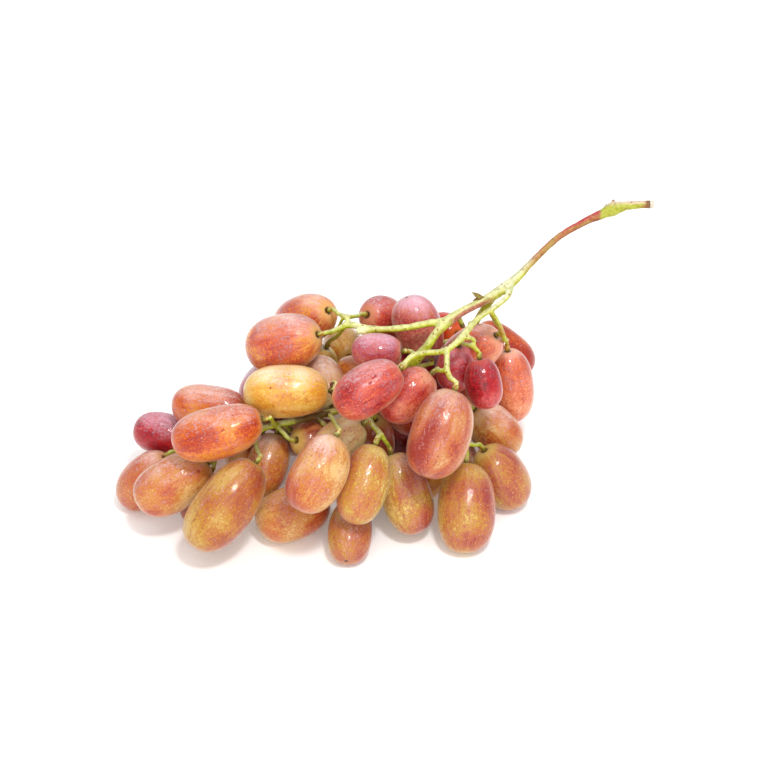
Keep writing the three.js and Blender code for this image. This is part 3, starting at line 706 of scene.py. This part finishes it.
# each extra: name, [(pixel across, pixel down, height in mm, radius in mm), ...]
EXTRAS = {
    "stub under the shoulder": [(374, 329.5, 50.2, 0.9), (366, 331, 50.4, 1.05), (357, 330.2, 50.4, 1.05)],
    "thin strand": [(343, 318.5, 50, 0.4), (340.3, 323, 47.5, 0.4), (337.4, 328.5, 45, 0.4)],
    "stub beside the amber grape": [(333.5, 391, 38.5, 0.8), (335, 387.5, 39.5, 0.8), (338, 384, 40, 1.05)],
    "brown stub under the main stalk": [(457, 315, 53.5, 0.8), (460, 320, 51, 0.7), (463, 326.5, 48, 0.75)],
    "torn bit on the knob": [(612, 207, 69.5, 1.3), (613.5, 203, 70.5, 0.8), (613, 199.5, 71.3, 0.3)],
    "torn bit left of the knob": [(610, 209, 69.5, 1.0), (606, 205.5, 70, 0.7), (604.5, 208, 70, 0.4)],
    "torn bit at the fork": [(434, 322.5, 52, 0.8), (430, 319, 52.5, 0.35)],
}

stalk_vertices = [v.co.copy() for v in frame["nodes"]["stem"].data.vertices]
stalk_faces = [tuple(p.vertices) for p in frame["nodes"]["stem"].data.polygons]


def add_tube(points, radii):
    """Adds a tube to what is going to be the stalk."""
    vertices, faces = tube(points, radii)
    base = len(stalk_vertices)
    stalk_vertices.extend(vertices)
    stalk_faces.extend(tuple(base + i for i in face) for face in faces)


for rows in EXTRAS.values():
    add_tube([seen(*row[:3]) for row in rows], [row[3] * MM for row in rows])
print("extras on the stalk:", len(EXTRAS))

# %% [markdown]
# ## The collar at each grape
# Where a stalk meets its grape it swells to a small warty collar that sits in the grape's dimple. The solid
# stops 0.3 mm short of the grape, so each collar gets a short plug down into the dimple and a few warts
# round it.

# %% Collars and warts
COLLAR_PLUG = [(-0.5, 0.7), (0.1, 0.85), (0.6, 0.7)]  # places past the grape's end, and radii, in mm
COLLAR_WARTS = 5
STUB_WARTS = [
    # the two stubs beside the amber grape are warty too: pixel across and down, height in mm, radius in mm
    (331, 383.5, 40, 0.5), (333, 381.5, 40, 0.45), (335, 382, 40.3, 0.4), (331.5, 387, 39, 0.5),
    (331, 394, 38, 0.5), (333, 395.5, 38, 0.45), (335.5, 388.5, 39, 0.4), (330.5, 391, 38.5, 0.55),
]
wart_dice = np.random.default_rng(11)


def add_wart(place, outward, radius):
    """A short fat tube, which melts into a round wart."""
    line = [place - outward * radius, place, place + outward * radius * 0.8]
    add_tube(line, [radius * 0.6, radius, radius * 0.45])


for number, grape in measured.items():
    along = Vector(grape["along"])
    end = Vector(grape["middle"]) + along * grape["length"] / 2
    line = [end + along * place * MM for place, _ in COLLAR_PLUG]
    add_tube(line, [radius * MM for _, radius in COLLAR_PLUG])
    side = along.orthogonal().normalized()
    other = along.cross(side)
    for turn in wart_dice.uniform(0, 2 * math.pi, COLLAR_WARTS):
        out = side * math.cos(turn) + other * math.sin(turn)
        foot = end + along * wart_dice.uniform(0.2, 1.2) * MM + out * 0.85 * MM
        add_wart(foot, out, wart_dice.uniform(0.22, 0.36) * MM)
for across, down, height, radius in STUB_WARTS:
    add_wart(seen(across, down, height), towards_eye, radius * MM)
print("points before melting:", len(stalk_vertices))

# %% [markdown]
# ## Melting the stalk together
# The tubes only lie in one another so far. A Boolean union would join them but keep a sharp line at each
# joint. A voxel remesh wraps one skin round all of them, and a few rounds of smoothing fill the joints the
# way bark does.

# %% Melt the stalk into one form
CELL = 0.33 * MM
stalk_source = bpy.data.meshes.new("stalk_source")
stalk_source.from_pydata([tuple(v) for v in stalk_vertices], [], stalk_faces)
stalk = add_object("stalk", stalk_source)
remesh = stalk.modifiers.new("melt", "REMESH")
remesh.mode, remesh.voxel_size = "VOXEL", CELL
smooth = stalk.modifiers.new("soften", "SMOOTH")
smooth.factor, smooth.iterations = 0.5, 5
stalk.data = bpy.data.meshes.new_from_object(stalk.evaluated_get(bpy.context.evaluated_depsgraph_get()))
stalk.modifiers.clear()
stalk.data.name = "stalk"
bpy.data.meshes.remove(stalk_source)
print("stalk after melting:", len(stalk.data.vertices), "points")

# %% [markdown]
# ## Growth marks on the stalk
# Softening shrinks a thin stalk, so every point goes back out by what was lost. The collars and the free
# stretch of the main stalk are a little slimmer on the real bunch than in the solid. Slow waves then make
# the stalk slightly lumpy. It is done on the points themselves, so that the outline shows it too.

# %% Fill out and roughen the stalk
SOFTENING_LOSS = 0.07 * MM
COLLAR_SQUEEZE = 0.22  # collars end up this much slimmer than the solid's cushions
FREE_STRETCH = (34, 58)  # between these, in mm along x, the main stalk stands free
FREE_ABOVE = 53 * MM  # nothing else on the stalk is as high there
MAIN_SQUEEZE = 0.16
LUMPS = [(2.2, 3, 0.10), (0.8, 4, 0.05)]  # how far apart in mm, which noise, and how high in mm


def rise(values, start, full):
    """0 at start, 1 at full, and smooth between; full may lie on either side of start."""
    share = np.clip((values - start) / (full - start), 0, 1)
    return share * share * (3 - 2 * share)


stalk_at = vectors_of(stalk.data.vertices, "co")
stalk_out = vectors_of(stalk.data.vertex_normals, "vector")
for grape in measured.values():
    offset = stalk_at - (grape["middle"] + grape["along"] * grape["length"] / 2)
    reach = offset @ grape["along"]
    squeeze = COLLAR_SQUEEZE * rise(reach / MM, 1.9, 1.1) * (np.linalg.norm(offset, axis=1) < 2.4 * MM)
    stalk_at -= (offset - reach[:, None] * grape["along"]) * squeeze[:, None]

axis_x = np.arange(*FREE_STRETCH, 2) * MM
high = stalk_at[:, 2] > FREE_ABOVE
axis_at = np.array([stalk_at[(abs(stalk_at[:, 0] - mid) < 1.5 * MM) & high].mean(0) for mid in axis_x])
slim = MAIN_SQUEEZE * rise(stalk_at[:, 0] / MM, 34, 39) * rise(stalk_at[:, 0] / MM, 57, 52) * high
for axis in (1, 2):
    stalk_at[:, axis] += (np.interp(stalk_at[:, 0], axis_x, axis_at[:, axis]) - stalk_at[:, axis]) * slim
lumps = sum(clouds(stalk_at, period, shift) * height * MM for period, shift, height in LUMPS)
stalk_at += stalk_out * (SOFTENING_LOSS + lumps)[:, None]
stalk.data.vertices.foreach_set("co", stalk_at.ravel())
stalk.data.polygons.foreach_set("use_smooth", [True] * len(stalk.data.polygons))
stalk.data.update()
print("points in the free stretch:", int((slim > 0).sum()))

# %% [markdown]
# ## Colours along the stalk
# A fresh stalk is bright yellow green. It is painted paler on top and along its upper edge as a painted
# highlight, and darker underneath and deep inside the bunch as painted shade. Between the fork and the knob
# the main stalk is flushed pink above and brown below, a pink stripe runs under the fork, and the cut end is
# browned with a pale core. Each zone is a place on the stalk, so it is worked out point by point from where
# the point is, and brushed over the colour that is there.

# %% Paint the stalk's zones
FRESH_GREEN = "ccd148"
paint = np.tile(np.array(linear(FRESH_GREEN)[:3]), (len(stalk_at), 1))


def brush(share, hex_colour):
    """Mixes a colour over the stalk by a share per point."""
    paint[:] += (np.array(linear(hex_colour)[:3]) - paint) * np.clip(share, 0, 1)[:, None]


x, y, z = stalk_at.T / MM
upward = stalk_out[:, 2]
lit = stalk_out @ np.array(picture_up)  # 1 on the upper edge as the photograph shows it, -1 on the lower edge
drift = clouds(stalk_at, 5, 8) * 3  # keeps the zones' ends from being straight cuts
on_main = (z > 46) * rise(x, 15, 17.5)
high_main = on_main * (z > 53)
flushed = rise(x + drift, 37, 43) * rise(x, 60.5, 59)
# streaks that follow the main stalk: noise in its own cross section, which changes slowly along it
from_axis = [np.interp(x, axis_x / MM, axis_at[:, axis] / MM) for axis in (1, 2)]
fibres = clouds(np.column_stack([x * 0.12, y - from_axis[0], z - from_axis[1]]) * MM, 0.7, 90)
brush(rise(clouds(stalk_at, 4.5, 51), 0.05, 0.4) * 0.5, "a89438")
brush(on_main * (z > 50) * 0.8, "bebe4c")
brush((1 - on_main) * (z < 50) * 0.6, "bccc20")  # the small stalks are the greenest
brush(rise(upward, 0.1, 0.8) * 0.75, "d8d6a0")  # painted highlight: paler on top, where light from above falls
# painted shade: darker on the underside
brush(rise(upward, 0.0, -0.8) * 0.6, "a5a82a")
brush(rise(z, 34, 18) * 0.5, "8c981e")  # painted shade: darker green deep inside the bunch, where less light reaches

# %% Paint the main stalk
brush(high_main * rise(x + drift, 24, 32) * rise(lit, -0.1, 0.7), "dcdcb4")  # painted highlight: a pale stretch along the upper edge after the fork
# painted shade: darker along the lower edge after the fork
brush(high_main * rise(x, 22, 30) * rise(lit, 0.1, -0.7) * 0.8, "b0a828")
brush(high_main * rise(x, 20, 26) * rise(fibres, 0.0, 0.3) * 0.4, "a8a838")
under_fork = rise(x, 16, 19) * rise(x, 31, 26) * (z > 52) * rise(y - 0.3 * (x - 16), -1.4, -0.6)
brush(under_fork * rise(lit, 0.3, -0.2), "b4705a")
brush(flushed, "a8683c")
brush(flushed * rise(fibres, 0.0, -0.3) * 0.6, "a8984c")
brush(flushed * rise(lit + fibres, 0.1, 0.8) * 0.85, "c05c54")
brush(flushed * rise(x + drift, 49, 56) * rise(lit + fibres, 0.1, 0.6) * 0.7, "b03c40")
brush(flushed * rise(lit, -0.3, -0.8) * rise(x + drift, 43, 50), "8c4c28")
brush(flushed * rise(lit, -0.1, -0.8) * rise(x + drift, 50, 43) * 0.7, "a8a040")
brush(rise(x, 59, 60.5), "aeb03c")  # the knob, and the browned end beyond it
# painted highlight: paler along the upper edge past the knob
brush(rise(x, 60.5, 62) * rise(lit, 0.3, 0.8), "dcc4a6")
brush(rise(x, 66, 69) * rise(lit, -0.1, 0.5), "dcbfa4")
brush(rise(x + drift * 0.5, 68, 72) * rise(lit, 0.0, -0.4), "9a6a34")
brush(rise(x, 71.5, 72.5), "8a5a34")
cut_end = stalk_at[:, 0].max() / MM
brush(x > cut_end - 1.5, "57493a")  # the dark rim of the cut, then its pale core
brush(x > cut_end - 1.1, "dccdb8")
print("cut end at x in mm:", round(float(cut_end), 1))

# %% [markdown]
# ## Browned places, and painted shade
# Bark browns where it rubs or dries: round each grape, with rusty dots there, and at every broken stub. The
# collars are found by how far a point is from the nearest grape's end. The stubs are marked by where the
# photograph shows them, each as a ball with a ragged edge, and a branch deep inside the bunch gets painted
# shade the same way.

# %% Brown the collars
ends = np.array([g["middle"] + g["along"] * g["length"] / 2 for g in measured.values()])
collar = np.full(len(stalk_at), np.inf)
for end in ends:
    collar = np.minimum(collar, np.linalg.norm(stalk_at - end, axis=1))
collar = collar / MM + clouds(stalk_at, 0.7, 21) * 0.6
brush(rise(collar, 2.0, 1.3) * 0.5, "9c9830")
brush(rise(collar, 2.6, 1.8) * rise(clouds(stalk_at, 0.5, 77), 0.1, 0.25), "b0601e")  # rusty dots
brush(rise(collar, 1.2, 0.8) * 0.7, "64501e")
print("points in the collars:", int((collar < 2.0).sum()))

# %% Mark the stubs
ragged_edge = clouds(stalk_at, 0.8, 31)


def near(across, down, height, reach, ragged=0.3):
    """1 at the place that is seen at a pixel, 0 from reach on, in mm."""
    distance = np.linalg.norm(stalk_at - np.array(seen(across, down, height)), axis=1) / MM
    return rise(distance + ragged_edge * ragged, reach, reach * 0.6)


SHADED_BRANCH, DRIED_STALK = "6a4a18", "c08c34"
STALK_MARKS = [
    # pixel across and down, height and reach in mm, share, colour
    # the first five rows are painted shade on a branch deep inside the bunch
    (302, 419, 28, 2.8, 0.85, SHADED_BRANCH), (310, 417, 28, 2.8, 0.85, SHADED_BRANCH),
    (318, 416, 28, 2.8, 0.85, SHADED_BRANCH), (325, 414, 29.5, 2.8, 0.85, SHADED_BRANCH),
    (331, 411, 31, 2.8, 0.85, SHADED_BRANCH), (331.5, 385, 39.5, 1.4, 1, "6b4423"),
    (332, 394, 38, 1.6, 1, "4c3218"), (463, 326.5, 48, 3, 1, "6d6424"),
    (486, 308, 52.5, 3.2, 1, "a8b030"), (503, 330, 47.1, 3.5, 0.7, DRIED_STALK),
    (506, 337, 41, 3.5, 0.7, DRIED_STALK), (508, 344, 34, 3.5, 0.7, DRIED_STALK),
    (613, 200, 71, 1.2, 1, "9a5a44"), (605, 206.5, 70, 1.2, 0.7, "c07a50"),
    (430, 319, 52.5, 1.1, 1, "8a5a30"),
]
# two stubs show the pale wood of a fresh break
brush(near(357, 330.5, 50.4, 3.6) * rise(stalk_out @ np.array(towards_eye), 0.1, 0.5), "f0efb4")
brush(near(338, 384, 40, 1.5, ragged=0), "e4e59a")
for *place, share, hex_colour in STALK_MARKS:
    brush(near(*place) * share, hex_colour)
tint = stalk.data.color_attributes.new("stalk_tint", "FLOAT_COLOR", "POINT")
tint.data.foreach_set("color", np.hstack([paint, np.ones((len(paint), 1))]).astype(np.float32).ravel())
print("mean stalk colour:", paint.mean(0).round(3))

# %% [markdown]
# ## Stalk bark
# The stalk is a fresh green shoot with a thin waxy bark: satin, slightly ribbed, and dotted with tiny brown
# corky warts of about half a millimetre. Bark has an index of refraction of about 1.45. The tint above
# gives the broad colour, and the shader adds the fine streaks and the warts.

# %% The stalk material
WART_SPACING_MM = 1.7
WART_START, WART_FULL = 0.18, 0.11  # distances from a wart's middle, as shares of the spacing
BARK_IOR = 1.45
bark, tree = new_material("green_stalk_bark")
bark_tint = add_node(tree, "Attribute", attribute_name="stalk_tint").outputs["Color"]
bark_at = add_node(tree, "TexCoord").outputs["Object"]
bark_grain = {"Scale": 0.9 / MM, "Detail": 4, "Roughness": 0.6}
grain = add_node(tree, "TexNoise", bark_grain, {"Vector": bark_at}).outputs[0]
darker = add_node(tree, "HueSaturation", {"Value": 0.72, "Saturation": 1.1}, {"Color": bark_tint}).outputs[0]
wart = add_node(tree, "TexVoronoi", {"Scale": 1 / (WART_SPACING_MM * MM)}, {"Vector": bark_at})
wart_distance = weigh(tree, wart.outputs["Distance"], {"grain": grain}, {"grain": 0.12})
wart_range = {"From Min": WART_START, "From Max": WART_FULL}
wart_edge = add_node(tree, "MapRange", wart_range, {"Value": wart_distance}, interpolation_type=SOFTLY)
wart_mask = wart_edge.outputs[0]
bark_layers = [(grain, 0.42, 0.66, 1, SOFTLY, darker), (wart_mask, 0, 1, 1, EVENLY, "8a4a1c")]
bark_colour = lay_over(tree, bark_tint, bark_layers)
bark_relief = add_node(tree, "Math", {1: 0.6}, {0: wart_mask, 2: grain}, operation="MULTIPLY_ADD").outputs[0]
bark_bump = add_node(tree, "Bump", {"Strength": 0.5, "Distance": 0.15 * MM}, {"Height": bark_relief})
bark_shader = add_node(
    tree,
    "BsdfPrincipled",
    {
        "IOR": BARK_IOR,
        "Roughness": 0.42,
        "Subsurface Weight": 0.12,
        "Subsurface Radius": (0.8, 1.0, 0.3),
        "Subsurface Scale": 0.8 * MM,
    },
    {"Base Color": bark_colour, "Normal": bark_bump.outputs[0]},
)
add_node(tree, "OutputMaterial", {}, {"Surface": bark_shader.outputs[0]})
stalk.data.materials.append(bark)
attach(stalk, "root")
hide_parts("stem")
print("faces in the stalk:", len(stalk.data.polygons))

# %% [markdown]
# ## The torn bract
# Where a leaf once sat, a dry scrap of two torn blades is left standing on the main stalk. Each is a thin
# curled sheet, so a small grid of points is laid along a line that starts inside the stalk, bent, and given
# a thickness. Tears cut one by one would be sharper, but at this size an edge of unevenly spread points is
# enough.

# %% Curl the bract
BLADE_ROWS = 9
BLADE_COLUMNS = 5
BLADE_THICKNESS = 0.15 * MM
BLADE_CURL = 10  # how quickly a blade's edges bend up from its middle
BLADE_RAGGED = 0.25
BLADE_CREASE = 0.1 * MM
# down the middle of each torn blade: pixel across and down, height in mm, half width in mm
BLADES = [
    [
        (486, 301, 56, 0.6), (480.5, 297.4, 57.6, 0.8), (476.5, 295.2, 58.4, 0.6),
        (474.5, 294, 58.8, 0.4), (471.8, 292, 59.3, 0.08),
    ],
    [
        (485, 301, 56, 0.4), (479.5, 298.6, 57.2, 0.45), (476.5, 298.8, 57.1, 0.35),
        (474.5, 299.8, 56.8, 0.25), (473, 301.2, 56.5, 0.08),
    ],
]
blade_dice = np.random.default_rng(3)
bract_vertices, bract_faces = [], []
for rows in BLADES:
    spine = [seen(*row[:3]) for row in rows]
    for i in range(BLADE_ROWS):
        share = i / (BLADE_ROWS - 1) * (len(spine) - 1)
        k = min(int(share), len(spine) - 2)
        point = spine[k].lerp(spine[k + 1], share - k)
        half = rows[k][3] + (rows[k + 1][3] - rows[k][3]) * (share - k)
        side = (spine[k + 1] - spine[k]).normalized().cross(towards_eye).normalized()
        for j in range(BLADE_COLUMNS):
            ragged = blade_dice.uniform(1 - BLADE_RAGGED, 1 + BLADE_RAGGED)
            across = (j / (BLADE_COLUMNS - 1) * 2 - 1) * half * MM * ragged
            crease = blade_dice.uniform(-BLADE_CREASE, BLADE_CREASE)
            curl = towards_eye * (abs(across) ** 1.5 * BLADE_CURL + crease)
            if i + 1 < BLADE_ROWS and j + 1 < BLADE_COLUMNS:
                corner = len(bract_vertices)
                bract_faces.append((corner, corner + 1, corner + BLADE_COLUMNS + 1, corner + BLADE_COLUMNS))
            bract_vertices.append(point + side * across + curl)
bract_mesh = bpy.data.meshes.new("bract")
bract_mesh.from_pydata([tuple(v) for v in bract_vertices], [], bract_faces)
bract = add_object("bract", bract_mesh)
thicken = bract.modifiers.new("thickness", "SOLIDIFY")
thicken.thickness, thicken.offset = BLADE_THICKNESS, 0
rounder = bract.modifiers.new("round", "SUBSURF")
rounder.levels = rounder.render_levels = 2
print("blades in the bract:", len(BLADES))

# %% [markdown]
# ## Dry leaf
# A dead scrap of leaf has lost its wax, so it is dull, olive turning to brown, and wrinkled across its
# veins.

# %% The bract material
dry = dry_tissue("dry_bract", "8a8034", "7a4a1e", grain_per_mm=1.2, detail=4, depth_mm=0.1, roughness=0.7)
bract_mesh.materials.append(dry)
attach(bract, "root")
print("bract faces:", len(bract_faces))

# %% [markdown]
# ## White floor
# The photograph is a bright cut-out on white. A matt white floor throws light back up into the lower
# grapes, which keeps their colour warm. It gives off a little light of its own as well, so that it stays as
# white as the photograph's background without more lamps.

# %% Lay the floor
FLOOR_HALF = 3.0
FLOOR_GLOW = 0.12
floor_mesh = bpy.data.meshes.new("floor")
corners = [(-1, -1), (1, -1), (1, 1), (-1, 1)]
floor_mesh.from_pydata([(sx * FLOOR_HALF, sy * FLOOR_HALF, 0) for sx, sy in corners], [], [(0, 1, 2, 3)])
floor = add_object("floor", floor_mesh)
paper, tree = new_material("white_paper")
paper_shader = add_node(
    tree,
    "BsdfPrincipled",
    {
        "Base Color": linear("fcfcfc"),
        "Roughness": 0.9,
        "Emission Color": linear("ffffff"),
        "Emission Strength": FLOOR_GLOW,
    },
)
add_node(tree, "OutputMaterial", {}, {"Surface": paper_shader.outputs[0]})
floor_mesh.materials.append(paper)
print("floor in metres:", 2 * FLOOR_HALF)

# %% [markdown]
# ## Studio light
# In the photograph light comes from all round, and each grape has one small satin highlight just above its
# middle. So a pale world and two broad soft boxes fill every side, and one small key lamp, high in front,
# makes the highlights. A bigger key would smear them into wide plastic sheets.

# %% Light the bunch
WORLD_LIGHT = 0.7
LAMPS = {
    # name: azimuth and elevation in degrees, distance and size in metres, watts
    "key": (18, 62, 0.9, 0.115, 3.6),
    "overhead": (0, 84, 1.2, 1.2, 3.4),
    "fill": (0, 26, 1.4, 1.2, 6.2),
}
world = bpy.data.worlds.new("studio")
world.use_nodes = True
bpy.context.scene.world = world
background = world.node_tree.nodes["Background"]
background.inputs["Color"].default_value = (1, 1, 1, 1)
background.inputs["Strength"].default_value = WORLD_LIGHT


def soft_box(name, azimuth, elevation, distance, size, watts):
    """A square lamp that looks at the bunch; azimuth 0 is the camera's."""
    turn, tilt = math.radians(azimuth), math.radians(elevation)
    away = Vector((math.sin(turn) * math.cos(tilt), -math.cos(turn) * math.cos(tilt), math.sin(tilt)))
    lamp = add_object(name, bpy.data.lights.new(name, "AREA"))
    lamp.data.size, lamp.data.energy = size, watts
    lamp.location = target + away * distance
    lamp.rotation_mode = "QUATERNION"
    lamp.rotation_quaternion = (-away).to_track_quat("-Z", "Y")


for name, values in LAMPS.items():
    soft_box(name, *values)
bpy.context.scene.view_settings.view_transform = "Standard"
print("lamps:", ", ".join(LAMPS))
